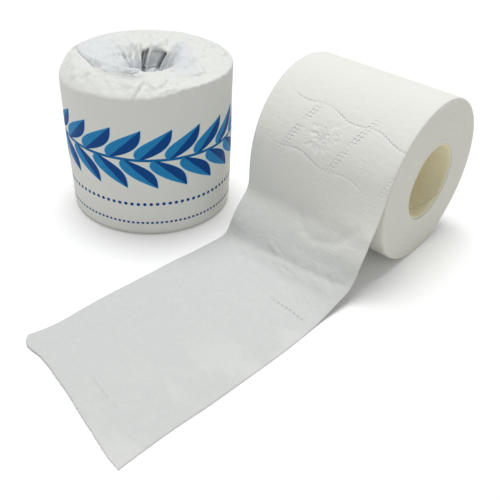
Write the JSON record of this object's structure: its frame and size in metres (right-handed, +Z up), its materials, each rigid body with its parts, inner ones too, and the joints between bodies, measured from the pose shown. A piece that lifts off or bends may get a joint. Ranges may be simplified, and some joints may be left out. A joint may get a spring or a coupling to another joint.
{
  "type": "toilet paper roll pack",
  "caption": "Toilet tissue rolls set out together: an open roll on its side with a long loose tail, and a sealed roll in printed paper wrapping standing on end.",
  "frame": {"origin": "middle of the open roll's foot, the narrow flat where the soft roll rests on the surface", "axes": "+X along the open roll's core, -Y the way the loose tail runs out, +Z up"},
  "size_m": [0.2267, 0.293, 0.1046],
  "materials": {
    "tissue": "soft embossed tissue",
    "core_board": "plain grey-brown tube board",
    "wrapper": "thin satin wrapping paper with a blue printed band"
  },
  "bodies": {
    "root": {"tissue_roll": "tissue", "core_tube": "core_board", "wrapped_roll": "wrapper"}
  },
  "joints": []
}
